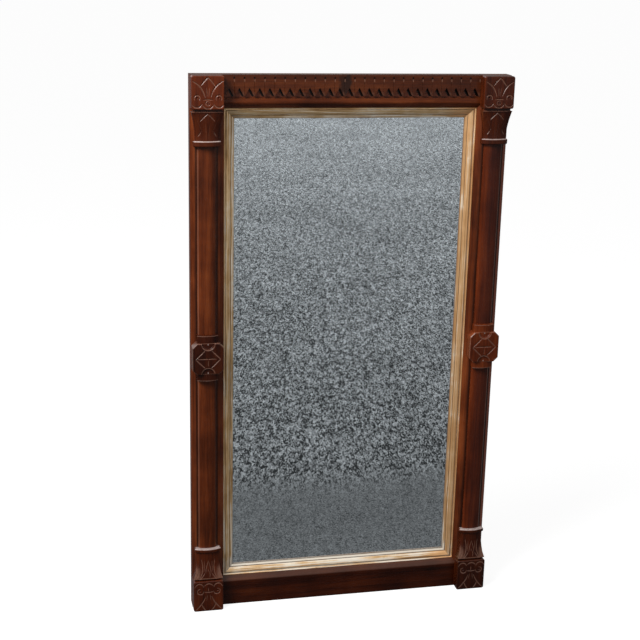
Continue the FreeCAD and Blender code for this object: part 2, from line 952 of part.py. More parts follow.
# Backboards, nailed across the back of the frame
for number, name in enumerate(("lower", "middle", "upper")):
    start = board_low + (board_height + backing_gap) * number
    plank = block(name + "_plank", (board_edge * 2, backing, board_height), (-board_edge, back_y, start))
    cut(name + "_backboard", plank, nail_holes)
nails = [make_nail("nail", spot, no_spare) for spot in nail_spots]
keep("backboard_nails", group("backboard_nails", nails))


# Ring hangers
def make_strap(name, side):
    body = new_body(name + "_strap_blank")
    centre = side * hanger_x
    half = strap_width / 2
    grip = knuckle_width / 2
    sketch = new_sketch(body, "XZ_Plane", -back_y)
    corners = [
        (centre + grip, hanger_level),
        (centre - grip, hanger_level),
        (centre - grip, hanger_level - strap_neck),
        (centre - half, hanger_level - strap_shoulder),
        (centre - half, hanger_level - strap_length, strap_crown),
        (centre + half, hanger_level - strap_length),
        (centre + half, hanger_level - strap_shoulder),
        (centre + grip, hanger_level - strap_neck),
    ]
    outline(sketch, corners)
    pad(body, sketch, strap_thickness, True)
    knuckle = new_sketch(body, "YZ_Plane", centre - grip)
    disc(knuckle, back_y + pivot_stand, hanger_level, ring_wire + ring_play + knuckle_wall)
    pad(body, knuckle, knuckle_width)
    bore = new_sketch(body, "YZ_Plane", centre + grip + 1)
    disc(bore, back_y + pivot_stand, hanger_level, ring_wire + ring_play)
    pocket(body, bore, knuckle_width + 2)
    return body


def make_ring(name, side):
    """A bent wire ring that hangs over the strap; its straight bar turns in the knuckle."""
    body = new_body(name)
    centre = side * hanger_x
    half = ring_width / 2
    bar = half - ring_bend
    quarter = 0.292893
    below = hanger_level - ring_bend
    lowest = below - ring_side
    spine = new_sketch(body, "XZ_Plane", -(back_y + pivot_stand))
    corners = [
        (centre + bar, hanger_level),
        (centre - bar, hanger_level, ring_bend * quarter),
        (centre - half, below),
        (centre - half, lowest, half * quarter),
        (centre, lowest - half, half * quarter),
        (centre + half, lowest),
        (centre + half, below, ring_bend * quarter),
    ]
    outline(spine, corners)
    wire = new_sketch(body, "YZ_Plane", centre + bar)
    disc(wire, back_y + pivot_stand, hanger_level, ring_wire)
    feature = body.newObject("PartDesign::AdditivePipe", name + "_bent_wire")
    feature.Profile = wire
    feature.Spine = (spine, ["Edge" + str(number + 1) for number in range(7)])
    feature.Transition = "Transformed"
    return keep(name, body)


for name, side in (("left", -1), ("right", 1)):
    cut(name + "_hanger_strap", make_strap(name, side), screw_holes)
    make_ring(name + "_hanger_ring", side)
screws = [make_screw("screw", spot, no_spare) for spot in screw_spots]
keep("hanger_screws", group("hanger_screws", screws))

doc.recompute()
for item in doc.Objects:
    if "Invalid" in item.State or "Error" in item.State:
        raise RuntimeError(item.Label + " did not build: " + str(item.State))
os.makedirs("parts", exist_ok=True)
for label, item in nodes.items():
    shape = item.Shape
    if shape.isNull() or not shape.isValid() or not shape.Solids:
        raise RuntimeError(label + " has no valid solid")
    shape.exportStep("parts/" + label + ".step")
    print(label, len(shape.Solids), "solids", round(shape.Volume / 1000, 2), "cm3")
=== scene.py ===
import bpy
import bmesh
import math
import numpy as np
from mathutils import Matrix, Vector


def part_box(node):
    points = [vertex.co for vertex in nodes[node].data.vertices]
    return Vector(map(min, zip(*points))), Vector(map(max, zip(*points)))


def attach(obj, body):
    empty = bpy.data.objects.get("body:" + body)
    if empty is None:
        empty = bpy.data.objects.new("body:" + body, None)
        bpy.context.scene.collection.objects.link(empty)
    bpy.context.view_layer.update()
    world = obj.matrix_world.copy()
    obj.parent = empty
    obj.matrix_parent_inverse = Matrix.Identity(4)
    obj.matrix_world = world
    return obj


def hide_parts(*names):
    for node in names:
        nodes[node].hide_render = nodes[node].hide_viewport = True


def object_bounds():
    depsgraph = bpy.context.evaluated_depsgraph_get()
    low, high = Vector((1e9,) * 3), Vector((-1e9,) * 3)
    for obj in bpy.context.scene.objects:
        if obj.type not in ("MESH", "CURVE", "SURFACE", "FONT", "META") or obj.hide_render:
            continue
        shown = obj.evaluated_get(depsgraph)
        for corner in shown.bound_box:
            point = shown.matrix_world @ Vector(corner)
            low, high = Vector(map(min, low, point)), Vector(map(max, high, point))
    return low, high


# A carved walnut wall mirror. The frame is in metres: the glass faces -Y, +Z
# is up and the origin is the middle of the back. Carving is in millimetres.

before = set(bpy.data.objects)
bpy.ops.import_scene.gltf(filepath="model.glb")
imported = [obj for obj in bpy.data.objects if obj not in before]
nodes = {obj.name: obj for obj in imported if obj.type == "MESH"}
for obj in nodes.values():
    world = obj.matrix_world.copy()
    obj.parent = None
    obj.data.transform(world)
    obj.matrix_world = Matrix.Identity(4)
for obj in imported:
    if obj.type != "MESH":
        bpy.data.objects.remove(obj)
cad_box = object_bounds()
scene = bpy.context.scene
MM = 0.001

# Where the half columns, the frieze's notches and the marks on it lie, in metres.
# The slope is a notch's half width over its height.
DUSTY_TOP = (0.6243, 0.6249)
COLUMN_X = 0.324
NOTCH_PITCH = 0.022
NOTCH_TOP = 0.5975
NOTCH_SLOPE = 0.547
TOOTH_TIP = 0.5785
DOT_MARK_Z, DOT_MARK_WIDE, DOT_MARK_TALL = 0.6128, 0.0018, 0.0046
STAIN_X, STAIN_Z, STAIN_WIDE, STAIN_TALL = -0.019, 0.602, 0.016, 0.027


class Value:
    """One output of a shader node. Arithmetic on it adds Math nodes."""

    def __init__(self, finish, socket):
        self.finish = finish
        self.socket = socket

    def math(self, operation, *entries):
        return self.finish.node("ShaderNodeMath", {"operation": operation}, entries)

    def __add__(self, other):
        return self.math("ADD", self, other)

    def __radd__(self, other):
        return self.math("ADD", other, self)

    def __sub__(self, other):
        return self.math("SUBTRACT", self, other)

    def __rsub__(self, other):
        return self.math("SUBTRACT", other, self)

    def __mul__(self, other):
        return self.math("MULTIPLY", self, other)

    def __truediv__(self, other):
        return self.math("DIVIDE", self, other)

    def __abs__(self):
        return self.math("ABSOLUTE", self)

    def least(self, other):
        return self.math("MINIMUM", self, other)

    def most(self, other):
        return self.math("MAXIMUM", self, other)

    def ease(self, low, high):
        """0 at low, 1 at high, smooth between. Low may be the larger."""
        settings = {"interpolation_type": "SMOOTHSTEP"}
        return self.finish.node("ShaderNodeMapRange", settings, {0: self, 1: low, 2: high})

    def band(self, centre, half):
        """1 at the centre, 0 from half away."""
        return abs(self - centre).ease(half, half * 0.4)


class Finish:
    """A material, or the world, that is written as expressions."""

    def __init__(self, name, owner=None):
        self.owner = owner or bpy.data.materials.new(name)
        self.owner.use_nodes = True
        self.tree = self.owner.node_tree
        self.tree.nodes.clear()

    def node(self, kind, settings=None, entries=(), out=0):
        made = self.tree.nodes.new(kind)
        for key, setting in (settings or {}).items():
            if key == "stops":
                self.set_stops(made.color_ramp, setting)
            else:
                setattr(made, key, setting)
        pairs = entries.items() if isinstance(entries, dict) else enumerate(entries)
        for key, entry in pairs:
            socket = made.inputs[key]
            if isinstance(entry, Value):
                self.tree.links.new(entry.socket, socket)
            elif isinstance(entry, tuple) and socket.type == "RGBA":
                socket.default_value = (*entry, 1.0)
            else:
                socket.default_value = entry
        return Value(self, made.outputs[out]) if len(made.outputs) else made

    def set_stops(self, ramp, stops):
        while len(ramp.elements) < len(stops):
            ramp.elements.new(1.0)
        for element, (position, colour) in zip(ramp.elements, stops):
            element.position = position
            element.color = (*colour, 1.0)

    def place(self):
        return self.node("ShaderNodeTexCoord", out="Object")

    def split(self, vector):
        return [self.node("ShaderNodeSeparateXYZ", None, [vector], out=axis) for axis in "XYZ"]

    def moved(self, vector, shift=(0, 0, 0), scale=(1, 1, 1), turn=0.0):
        entries = {"Vector": vector, "Location": shift, "Rotation": (0, 0, turn), "Scale": scale}
        return self.node("ShaderNodeMapping", None, entries)

    def noise(self, vector, scale, detail=3.0, rough=0.55, warp=0.0):
        entries = {"Vector": vector, "Scale": scale, "Detail": detail}
        entries.update({"Roughness": rough, "Distortion": warp})
        return self.node("ShaderNodeTexNoise", None, entries)

    def grains(self, vector, scale):
        """A random level for each of many small grains."""
        cells = self.node("ShaderNodeTexVoronoi", None, {"Vector": vector, "Scale": scale}, out="Color")
        return self.node("ShaderNodeSeparateColor", None, [cells], out="Red")

    def ramp(self, value, stops):
        return self.node("ShaderNodeValToRGB", {"stops": stops}, [value])

    def mix(self, factor, first, second):
        settings = {"data_type": "RGBA", "clamp_factor": True}
        return self.node("ShaderNodeMix", settings, {0: factor, 6: first, 7: second}, out=2)

    def bump(self, height, distance, strength):
        entries = {"Strength": strength, "Distance": distance, "Height": height}
        return self.node("ShaderNodeBump", None, entries)

    def attribute(self, name):
        return self.node("ShaderNodeAttribute", {"attribute_name": name}, out="Fac")

    def surface(self, **entries):
        entries = {key.replace("_", " "): entry for key, entry in entries.items()}
        shader = self.node("ShaderNodeBsdfPrincipled", None, entries)
        self.node("ShaderNodeOutputMaterial", None, [shader])
        return self.owner


# Timber: figure, fibres and pores stretched along the grain
ALONG_X = (0.05, 1.0, 1.0)
ALONG_Z = (1.0, 1.0, 0.05)
WALNUT = (
    (0.16, (0.0240, 0.0044, 0.0012)),
    (0.42, (0.0780, 0.0155, 0.0038)),
    (0.58, (0.1250, 0.0260, 0.0062)),
    (0.84, (0.2150, 0.0520, 0.0130)),
)
PINE = (
    (0.15, (0.130, 0.068, 0.028)),
    (0.42, (0.270, 0.150, 0.066)),
    (0.62, (0.360, 0.215, 0.100)),
    (0.85, (0.440, 0.285, 0.150)),
)
# The pale colours paint wear and also painted highlight and sheen. The black paints soot and a stain, and
# also painted shade.
PALE_WEAR_AND_SHEEN = (0.215, 0.104, 0.069)
CHALK_AND_SHEEN = (0.440, 0.360, 0.340)
SOOT_AND_SHADE = (0.010, 0.0042, 0.0028)
DUST = (0.040, 0.026, 0.021)
PAINTED_LIGHT_RED = (0.340, 0.080, 0.036)
PAINTED_SHADE_BROWN = (0.036, 0.012, 0.011)
RED_VARNISH = (1.0, 0.80, 0.66)
NOTCH_PAINTED_LIGHT = (0.330, 0.100, 0.055)


def stained(tones, strength, tint=(1.0, 1.0, 1.0)):
    return tuple(
        (stop, tuple(part * strength * share for part, share in zip(colour, tint)))
        for stop, colour in tones
    )


def reddened(strength):
    """Walnut under a redder varnish."""
    return stained(WALNUT, strength, RED_VARNISH)


def timber(name, grain, shift, tones, rough, carved=False, dirt_and_shade=None):
    """Varnished wood, with colours painted on by the last argument, a function of (wood, x, y, z): dirt and
    wear, and also painted shade and painted light.
    """
    wood = Finish(name)
    spot = wood.place()
    x, y, z = wood.split(spot)
    drawn = wood.moved(spot, shift, grain)
    drift = wood.noise(wood.moved(spot, shift), 9.0, 3.0)
    figure = wood.noise(drawn, 52.0, 4.0, 0.6, 1.0)
    fibre = wood.noise(drawn, 330.0, 2.0, 0.7)
    pores = wood.noise(wood.moved(drawn, (3, 1, 2)), 1700.0, 1.0, 0.5).ease(0.56, 0.7)
    shade = (figure - 0.5) * 0.9 + (drift - 0.5) * 0.8 + (fibre - 0.5) * 0.4 + 0.5
    colour = wood.ramp(shade, tones)
    colour = wood.mix(pores * 0.35, colour, tones[0][1])
    dust = z.ease(*DUSTY_TOP)
    colour = wood.mix(dust * 0.7, colour, DUST)
    # Dirt and wear, painted shade and painted light from the masks are mixed in.
    for amount, paint in dirt_and_shade(wood, x, y, z) if dirt_and_shade else ():
        colour = wood.mix(amount * (drift * 0.5 + 0.65).least(1.0), colour, paint)
    # Carved pieces are painted pale where their mesh marks it: wear, and also painted highlight and sheen.
    if carved:
        worn = wood.attribute("worn")
        broken = wood.noise(spot, 170.0, 2.0, 0.6)
        paint = wood.mix(worn.ease(0.72, 1.0), PALE_WEAR_AND_SHEEN, CHALK_AND_SHEEN)
        cover = worn.ease(0.05, 0.7) * (broken * 1.1 + 0.32).least(1.0) * 0.8
        colour = wood.mix(cover, colour, paint)
    return wood.surface(
        Base_Color=colour,
        Roughness=rough + drift.ease(0.35, 0.7) * 0.07 + pores * 0.12 + dust * 0.5,
        Specular_IOR_Level=0.21,
        Normal=wood.bump(fibre * 0.5 - pores * 0.5 + figure * 0.4, 0.0002, 0.25),
    )


def shade_beside_shafts(wood, x, y, z):
    """Painted shade blackens the corners along the half columns, and painted light fills the right-hand
    edge, which lies in the shafts' shadow.
    """
    corner_shade = abs(abs(x) - COLUMN_X).ease(0.0280, 0.0225)
    shadow_fill = x.ease(0.3480, 0.3510)
    return [(corner_shade * 0.85, SOOT_AND_SHADE), (shadow_fill * 0.7, PAINTED_LIGHT_RED)]


def on_left_shaft(wood, x, y, z):
    """A paler line along the outer flank, and painted shade towards the glass."""
    inner = x.ease(-0.320, -0.304)
    flank = x.band(-0.3436, 0.0016)
    return [(inner * 0.42, SOOT_AND_SHADE), (flank * 0.4, PALE_WEAR_AND_SHEEN)]


def on_right_shaft(wood, x, y, z):
    """A paler line along the outer flank, with painted shade over most of the face."""
    face = x.ease(0.304, 0.322)
    flank = x.band(0.3428, 0.0014)
    return [(face * 0.4, PAINTED_SHADE_BROWN), (flank * 0.65, PALE_WEAR_AND_SHEEN)]


def shade_in_notches(wood, x, y, z):
    """The ground behind the notches of the frieze is painted paler, painted light where the frieze's shadow
    falls, with painted shadow along their sides.
    """
    across = x.math("WRAP", x, NOTCH_PITCH, 0.0) - NOTCH_PITCH / 2
    inside = (NOTCH_TOP - z) * NOTCH_SLOPE - across
    sunk = y.ease(-0.0390, -0.0370) * y.ease(-0.0300, -0.0320)
    ground = sunk * z.ease(0.5765, 0.5790) * z.ease(0.6040, 0.6020)
    side = ground * inside.ease(0.0056, 0.0036) * inside.ease(-0.003, -0.001)
    other = ground * (inside + across * 2).ease(0.0028, 0.0010)
    return [(ground * 0.85, NOTCH_PAINTED_LIGHT), (side.most(other * 0.6) * 1.2, SOOT_AND_SHADE)]


def sheen_on_sill(wood, x, y, z):
    """Painted sheen on the bevel that faces up."""
    return [(z.ease(-0.5672, -0.5635) * 0.2, PALE_WEAR_AND_SHEEN)]


def on_frieze(wood, x, y, z):
    """Painted shade blackens the sawn edges and dots, painted highlight and wear lighten the teeth and the
    wood under each dot, and one stain is old.
    """
    across = x.math("WRAP", x, NOTCH_PITCH / 2, -NOTCH_PITCH / 2)
    beside, under = across / DOT_MARK_WIDE, (z - DOT_MARK_Z) / DOT_MARK_TALL
    lit_lip = (beside * beside + under * under).ease(1.0, 0.1)
    tooth = (z - TOOTH_TIP).ease(0.0120, 0.0040) * across.ease(0.0020, -0.0010)
    aside, up = (x - STAIN_X) / STAIN_WIDE, (z - STAIN_Z) / STAIN_TALL
    blotch = wood.noise(wood.moved(wood.place(), (2, 0, 1), (1, 1, 0.4)), 90.0, 3.0)
    stain = (aside * aside + up * up + (blotch - 0.5) * 2.6).ease(1.5, 0.4)
    highlight_and_wear = (lit_lip * 0.8).most(tooth * 0.35)
    edge_shade = y.ease(-0.0419, -0.0408)
    front = y.ease(-0.0408, -0.0419)
    return [(edge_shade.most(stain) * 0.9, SOOT_AND_SHADE), (highlight_and_wear * front, PALE_WEAR_AND_SHEEN)]


stile_walnut = timber("stile_walnut", ALONG_Z, (0.3, 0.1, 0.2), WALNUT, 0.2, dirt_and_shade=shade_beside_shafts)
rail_walnut = timber("rail_walnut", ALONG_X, (0.7, 0.4, 0.9), stained(WALNUT, 0.88), 0.22, dirt_and_shade=shade_in_notches)
# The bottom rail is stained darker: partly its own tone, partly painted shade.
sill_walnut = timber("sill_walnut", ALONG_X, (2.7, 1.4, 0.3), reddened(0.36), 0.2, dirt_and_shade=sheen_on_sill)
frieze_walnut = timber("frieze_walnut", ALONG_X, (1.7, 2.4, 1.1), stained(WALNUT, 0.6), 0.28, dirt_and_shade=on_frieze)
left_shaft_walnut = timber("left_shaft_walnut", ALONG_Z, (2.2, 1.3, 0.6), stained(WALNUT, 1.05), 0.18,
                           dirt_and_shade=on_left_shaft)
right_shaft_walnut = timber("right_shaft_walnut", ALONG_Z, (3.1, 0.3, 2.6), reddened(0.84), 0.18,
                            dirt_and_shade=on_right_shaft)
# The corner blocks are stained darker from the top left to the bottom right: partly their own tones, partly
# painted shade.
red_walnut = timber("red_walnut", ALONG_Z, (4.1, 0.8, 2.7), reddened(0.84), 0.24, carved=True)
brown_walnut = timber("brown_walnut", ALONG_Z, (5.6, 1.7, 0.2), reddened(0.60), 0.24, carved=True)
dark_walnut = timber("dark_walnut", ALONG_Z, (1.1, 3.8, 0.7), reddened(0.46), 0.22, carved=True)
black_walnut = timber("black_walnut", ALONG_Z, (0.4, 5.2, 1.9), reddened(0.29), 0.22, carved=True)
back_pine = timber("back_pine", ALONG_X, (0.5, 0.2, 3.1), PINE, 0.62)
block_pine = timber("block_pine", ALONG_Z, (1.5, 2.2, 0.1), PINE, 0.66)


# Gilding: worn leaf over a white ground, dark in its quirks
LINER_WIDE = 24.0
OUTER_QUIRK, INNER_QUIRK = 5.2, 17.1
WHITE_GROUND = (0.80, 0.72, 0.60)
WARM_LEAF = (0.70, 0.34, 0.135)
GRIME = (0.060, 0.027, 0.012)


def gilding():
    gold = Finish("worn_gilding")
    spot = gold.place()
    x, _, z = gold.split(spot)
    aside = LINER_WIDE - (abs(x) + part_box("liner_left")[1][0]) / MM
    above = LINER_WIDE - (abs(z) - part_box("liner_top")[0][2]) / MM
    inward = aside.least(above)
    upright = (above - aside).ease(-0.05, 0.05)
    lengthways = gold.noise(gold.moved(spot, (0, 0, 0), (1, 1, 0.02)), 380.0, 3.0, 0.6)
    sideways = gold.noise(gold.moved(spot, (0, 0, 0), (0.02, 1, 1)), 380.0, 3.0, 0.6)
    streaks = upright * lengthways + (1 - upright) * sideways
    patches = gold.noise(spot, 24.0, 4.0, 0.62)
    specks = gold.noise(spot, 520.0, 2.0, 0.5)
    leaf = gold.ramp(
        (patches - 0.5) * 0.5 + (streaks - 0.5) * 1.9 + 0.5,
        ((0.25, (0.43, 0.235, 0.090)), (0.5, (0.72, 0.480, 0.245)), (0.78, (0.90, 0.720, 0.460))),
    )
    below = z.ease(-0.50, -0.53)
    inner = inward.ease(17.3, 18.0)
    right = x.ease(0.20, 0.25)
    # The bottom liner, which faces up, is whitened more: painted highlight over its wear.
    wear_and_highlight = streaks * 0.8 + patches * 0.3 + inner * (below * 0.12 + 0.05) + below * 0.08 - right * 0.06
    whitened = (wear_and_highlight - 0.575).ease(0.0, 0.12)
    leaf = gold.mix(right * 0.5, leaf, WARM_LEAF)
    colour = gold.mix(whitened, leaf, WHITE_GROUND)
    broad = below * 0.6
    quirks = inward.band(OUTER_QUIRK, broad + 1.1).most(inward.band(INNER_QUIRK, broad + 0.8))
    quirks = quirks.most(inward.ease(22.8 - broad * 2, 23.6 - broad * 2))
    quirks = quirks.most((aside - above).band(0.0, 0.55) * 0.8) * (specks * 0.8 + 0.5).least(1.0)
    colour = gold.mix(quirks * 0.85, colour, GRIME)
    return gold.surface(
        Base_Color=colour,
        Metallic=(0.62 - whitened * 0.52) * (1 - quirks * 0.8),
        Roughness=0.32 + patches * 0.16 + quirks * 0.3,
        Normal=gold.bump(streaks * 0.7 + specks * 0.25, 0.0003, 0.5),
    )


def silvering():
    plate = Finish("silvered_plate")
    haze = plate.noise(plate.place(), 7.0, 3.0, 0.6)
    return plate.surface(
        Base_Color=plate.mix(haze.ease(0.5, 0.8) * 0.2, (0.80, 0.83, 0.84), (0.72, 0.75, 0.76)),
        Metallic=1.0,
        Roughness=haze * 0.02,
    )


def metal(name, bright, rust, rough):
    iron = Finish(name)
    spots = iron.noise(iron.place(), 240.0, 4.0, 0.6)
    stain = spots.ease(0.52, 0.68)
    return iron.surface(
        Base_Color=iron.mix(stain, bright, rust),
        Metallic=0.95 - stain * 0.5,
        Roughness=rough + stain * 0.3,
        Normal=iron.bump(spots, 0.0002, 0.4),
    )


dressing = {
    stile_walnut: ["left_stile", "right_stile"],
    rail_walnut: ["top_rail"],
    sill_walnut: ["bottom_rail"],
    frieze_walnut: ["frieze_board"],
    left_shaft_walnut: ["left_upper_shaft", "left_lower_shaft"],
    right_shaft_walnut: ["right_upper_shaft", "right_lower_shaft"],
    gilding(): ["liner_left", "liner_right", "liner_bottom", "liner_top"],
    silvering(): ["mirror_glass"],
    back_pine: ["lower_backboard", "middle_backboard", "upper_backboard"],
    block_pine: ["corner_dowels", "glazing_blocks"],
    metal("dull_steel", (0.46, 0.45, 0.42), (0.16, 0.085, 0.04), 0.36): [
        "left_hanger_strap", "right_hanger_strap", "left_hanger_ring", "right_hanger_ring", "hanger_screws",
    ],
    metal("dark_iron", (0.13, 0.12, 0.11), (0.11, 0.05, 0.025), 0.5): ["backboard_nails"],
}
for finish, names in dressing.items():
    for name in names:
        nodes[name].data.materials.clear()
        nodes[name].data.materials.append(finish)


# Carving: gouge strokes, drilled eyes and sunk half rounds
STROKE_WIDE, STROKE_DEEP = 3.8, 1.6
# Cuts are painted pale towards their depth: wear, and painted highlight on their walls.
STROKE_WEAR_AND_SHEEN, PALE_FULL_DEPTH = 0.7, 0.9
LOBE_WALL, EYE_WALL, PEG_EDGE = 2.0, 0.45, 0.4
BACK_STEP = 1.2
CREASE = math.radians(40)


def smooth_line(points, steps=8):
    """Points along a smooth line through the given ones."""
    knots = [points[0], *points, points[-1]]
    line = []
    for a, b, c, d in zip(knots, knots[1:], knots[2:], knots[3:]):
        for step in range(steps):
            t = step / steps
            line.append(tuple(
                0.5 * (2 * q + (r - p) * t + (2 * p - 5 * q + 4 * r - s) * t * t
                       + (3 * q - p - 3 * r + s) * t * t * t)
                for p, q, r, s in zip(a, b, c, d)
            ))
    line.append(points[-1])
    return line


def arc(x, z, radius, start, end, steps=14):
    """Points on a circle between two angles in degrees, counted from +X to +Z."""
    turns = [math.radians(start + (end - start) * step / steps) for step in range(steps + 1)]
    return [(x + radius * math.cos(turn), z + radius * math.sin(turn)) for turn in turns]


class Carving:
    """What the carver cuts into one face."""

    def __init__(self):
        self.lines = []
        self.eyes = []
        self.lobes = []
        self.pegs = []

    def stroke(self, points, width=STROKE_WIDE, depth=STROKE_DEEP, mirrored=False):
        line = smooth_line(points) if len(points) < 9 else points
        self.lines.append((line, width / 2, depth))
        if mirrored:
            self.stroke([(-x, z) for x, z in points], width, depth)

    def eye(self, x, z, radius, depth, mirrored=False):
        self.eyes.append((x, z, radius, depth))
        if mirrored:
            self.eyes.append((-x, z, radius, depth))

    def lobe(self, x, z, radius, depth):
        self.lobes.append((x, z, radius, depth))

    def peg(self, x, z, radius):
        self.pegs.append((x, z, radius))

    def cut(self, x, z):
        """How deep the face is cut at each point, and how pale the cut is painted, for wear and painted
        highlight.
        """
        deep = np.zeros(len(x))
        for line, half, most in self.lines:
            count = len(line) - 1
            for index, ((ax, az), (bx, bz)) in enumerate(zip(line, line[1:])):
                dx, dz = bx - ax, bz - az
                t = np.clip(((x - ax) * dx + (z - az) * dz) / (dx * dx + dz * dz + 1e-9), 0, 1)
                near = np.hypot(x - ax - t * dx, z - az - t * dz)
                taper = 0.5 + 0.5 * np.sin(math.pi * np.clip((index + t) / count, 0.02, 0.98)) ** 0.6
                deep = np.maximum(deep, most * taper * np.clip(1 - near / (half * taper), 0, 1))
        worn = STROKE_WEAR_AND_SHEEN * np.clip(deep / PALE_FULL_DEPTH, 0, 1)
        for cx, cz, radius, most in self.lobes:
            near = np.hypot(x - cx, z - cz)
            deep = np.maximum(deep, most * np.clip((radius - near) / LOBE_WALL, 0, 1))
        for cx, cz, radius, most in self.eyes:
            near = np.hypot(x - cx, z - cz)
            deep = np.maximum(deep, most * np.clip((radius - near) / (EYE_WALL * radius), 0, 1))
        for cx, cz, radius in self.pegs:
            near = np.hypot(x - cx, z - cz)
            worn = np.maximum(worn, np.clip((radius - near) / PEG_EDGE, 0, 1))
        return deep, worn


def new_shape():
    shape = bmesh.new()
    shape.verts.layers.float.new("worn")
    return shape


def sheet(shape, columns, rows, form):
    """A grid laid out by form(u, v), which run from 0 to 1, left to right and top to bottom.

    form gives x, y and z in millimetres and how pale each point is painted, for wear and painted sheen.
    """
    verts = bmesh.ops.create_grid(shape, x_segments=columns, y_segments=rows, size=0.5)["verts"]
    spots = np.array([vert.co[:2] for vert in verts])
    x, y, z, worn = form(spots[:, 0] + 0.5, 0.5 - spots[:, 1])
    layer = shape.verts.layers.float["worn"]
    for vert, spot, amount in zip(verts, np.stack((x, y, z), axis=1), worn):
        vert.co = spot * MM
        vert[layer] = amount
    return verts


def rim_of(verts):
    return list(dict.fromkeys(edge for vert in verts for edge in vert.link_edges if edge.is_boundary))


def run_out(shape, verts, move, wear_and_highlight=0.0):
    """Extrude the open rim of a sheet and move the new points, which are returned."""
    made = bmesh.ops.extrude_edge_only(shape, edges=rim_of(verts))["geom"]
    fresh = [item for item in made if isinstance(item, bmesh.types.BMVert)]
    layer = shape.verts.layers.float["worn"]
    for vert in fresh:
        vert.co = move(vert.co)
        vert[layer] = wear_and_highlight
    return fresh


def close_to(shape, verts, plane, wear_and_highlight=0.0):
    """Carry the rim of a sheet back to a plane and close it there."""
    near = run_out(shape, verts, lambda spot: spot + Vector((0, BACK_STEP * MM, 0)), wear_and_highlight)
    fresh = run_out(shape, near, lambda spot: Vector((spot.x, plane, spot.z)), wear_and_highlight)
    bmesh.ops.holes_fill(shape, edges=rim_of(fresh), sides=0)


def bevelled(centre, sides, front, edge):
    """A move for run_out: out to the block's sides, (x, z, distance), and back by the bevel."""
    def move(spot):
        x, z = spot.x / MM - centre.x, spot.z / MM - centre.z
        near = [side for side in sides if abs(side[0] * x + side[1] * z - side[2] + edge) < 0.02]
        if len(near) > 1:
            (a, b, reach), (c, d, other) = near[:2]
            x, z = (reach * d - other * b) / (a * d - b * c), (a * other - c * reach) / (a * d - b * c)
        elif near:
            x, z = x + near[0][0] * edge, z + near[0][1] * edge
        y = max(spot.y / MM + 0.15, front + edge)
        return Vector((x + centre.x, y, z + centre.z)) * MM
    return move


def finish_piece(shape, node, material):
    """Make the bmesh a piece that stands for a node of the frame."""
    bmesh.ops.recalc_face_normals(shape, faces=shape.faces)
    for face in shape.faces:
        face.smooth = True
    for edge in shape.edges:
        if len(edge.link_faces) == 2 and edge.calc_face_angle(0.0) > CREASE:
            edge.smooth = False
    mesh = bpy.data.meshes.new("carved_" + node)
    shape.to_mesh(mesh)
    shape.free()
    piece = bpy.data.objects.new("carved_" + node, mesh)
    scene.collection.objects.link(piece)
    mesh.materials.append(material)
    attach(piece, "frame")
    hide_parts(node)


def in_mm(node):
    low, high = (Vector(corner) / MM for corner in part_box(node))
    return low, high, (low + high) / 2


# Corner blocks
def upper_motif(wide, tall):
    """A bud between two leaves over scrolls and scallops."""
    carving = Carving()

    def at(u, v):
        return (u - 0.5) * wide, (0.5 - v) * tall

    carving.stroke([at(0.515, 0.045), at(0.42, 0.13), at(0.30, 0.28)], mirrored=True)
    leaf = [at(0.04, 0.16), at(0.22, 0.28), at(0.34, 0.44), at(0.405, 0.61)]
    carving.stroke(leaf, mirrored=True)
    carving.stroke([at(0.455, 0.34), at(0.47, 0.48), at(0.475, 0.60)], 2.8, 0.8, mirrored=True)
    carving.stroke([at(0.36, 0.71), at(0.5, 0.70), at(0.64, 0.71)], 3.4, 1.3)
    x, z = at(0.83, 0.66)
    carving.stroke(arc(x, z, 6.2, 215, -30), 3.6, 1.5, mirrored=True)
    carving.eye(x, z + 0.6, 2.2, 1.8, mirrored=True)
    x, z = at(0.5, 0.81)
    carving.stroke(arc(x, z, 4.6, 0, 360, 24), 2.8, 1.0)
    carving.eye(x, z, 1.6, 1.6)
    scallop = [at(0.02, 0.85), at(0.09, 0.92), at(0.18, 0.935), at(0.26, 0.90), at(0.32, 0.83)]
    carving.stroke(scallop, depth=1.5, mirrored=True)
    scallop = [at(0.34, 0.875), at(0.41, 0.945), at(0.5, 0.965), at(0.59, 0.945), at(0.66, 0.875)]
    carving.stroke(scallop, depth=1.5)
    return carving


def lower_motif(wide, tall):
    """The same flower hanging down, with open scrolls and straight leaves."""
    carving = Carving()

    def at(u, v):
        return (u - 0.5) * wide, (0.5 - v) * tall

    scallop = [at(0.03, 0.18), at(0.10, 0.09), at(0.19, 0.065), at(0.28, 0.10), at(0.33, 0.18)]
    carving.stroke(scallop, depth=1.3, mirrored=True)
    scallop = [at(0.36, 0.14), at(0.42, 0.09), at(0.5, 0.07), at(0.58, 0.09), at(0.64, 0.14)]
    carving.stroke(scallop, depth=1.3)
    carving.stroke([at(0.49, 0.21), at(0.49, 0.32)], 3.2, 1.2)
    carving.stroke([at(0.36, 0.35), at(0.5, 0.36), at(0.64, 0.35)], 3.4, 1.4)
    scroll = [at(0.66, 0.32), at(0.70, 0.395), at(0.77, 0.42), at(0.85, 0.39)]
    scroll += [at(0.885, 0.32), at(0.86, 0.26), at(0.79, 0.24)]
    carving.stroke(scroll, 3.6, 1.5, mirrored=True)
    carving.eye(*at(0.79, 0.31), 2.2, 1.8, mirrored=True)
    carving.stroke([at(0.455, 0.44), at(0.44, 0.54), at(0.43, 0.64)], 2.8, 0.8, mirrored=True)
    leaf = [at(0.40, 0.50), at(0.33, 0.64), at(0.20, 0.81), at(0.05, 0.96)]
    carving.stroke(leaf, mirrored=True)
    carving.stroke([at(0.74, 0.74), at(0.69, 0.85), at(0.60, 0.97)], mirrored=True)
    return carving


